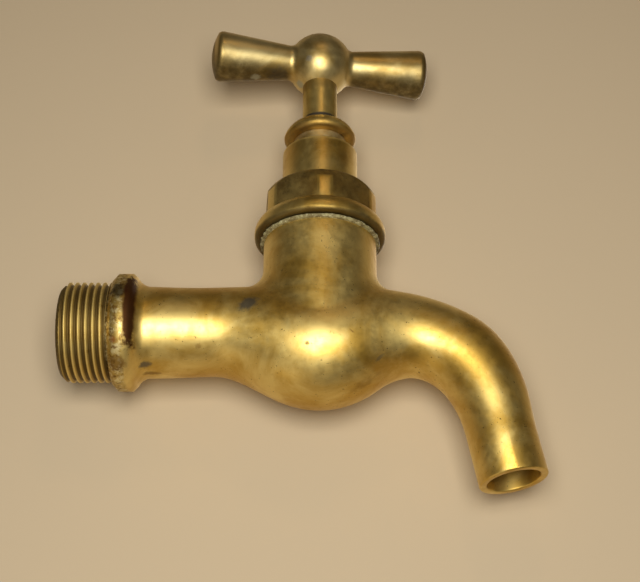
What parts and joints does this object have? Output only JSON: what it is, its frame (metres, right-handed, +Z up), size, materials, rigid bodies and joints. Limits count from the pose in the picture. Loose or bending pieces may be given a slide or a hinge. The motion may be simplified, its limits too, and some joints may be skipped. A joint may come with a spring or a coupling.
{
  "type": "bib tap",
  "caption": "Screw-down brass bib tap with a threaded inlet and collar, rounded belly, curved spout, hexagonal headwork and a T-bar handle with a ball hub.",
  "frame": {"origin": "centre of the collar's wall-side face, on the axis of the threaded inlet", "axes": "+Z up along the spindle, +X from the inlet to the spout along the inlet's axis"},
  "size_m": [0.1244, 0.0358, 0.1403],
  "materials": {
    "cast_brass": "aged, worn satin",
    "turned_brass": "aged, turned",
    "stem_brass": "aged, turned, stained at the gland",
    "handle_brass": "aged, worn smooth by hands",
    "plain_brass": "plain turned",
    "fibre_gasket": "fibre, stained pale green",
    "packing": "greased hemp",
    "rubber": "matt"
  },
  "bodies": {
    "housing": {"body": "cast_brass", "bonnet_gasket": "fibre_gasket", "bonnet": "turned_brass", "gland_nut": "turned_brass", "gland_follower": "plain_brass", "packing_washer": "plain_brass", "packing_ring_lower": "packing", "packing_ring_middle": "packing", "packing_ring_upper": "packing"},
    "valve": {"valve_jumper": "plain_brass", "valve_washer": "rubber", "washer_plate": "plain_brass", "washer_nut": "plain_brass"},
    "handle_and_spindle": {"spindle": "stem_brass", "handle": "handle_brass"}
  },
  "joints": [
    {"name": "valve_lift", "type": "slide", "parent": "housing", "child": "valve", "axis": [0, 0, 1], "range_m": [0, 0.0055]},
    {"name": "handle_turn", "type": "hinge", "parent": "valve", "child": "handle_and_spindle", "pos_m": [0.054, 0, 0.088], "axis": [0, 0, 1], "range_deg": [0, 990]}
  ],
  "couplings": [
    {"joint": "handle_turn", "follows": "valve_lift", "rad_per_m": 3141.6}
  ]
}
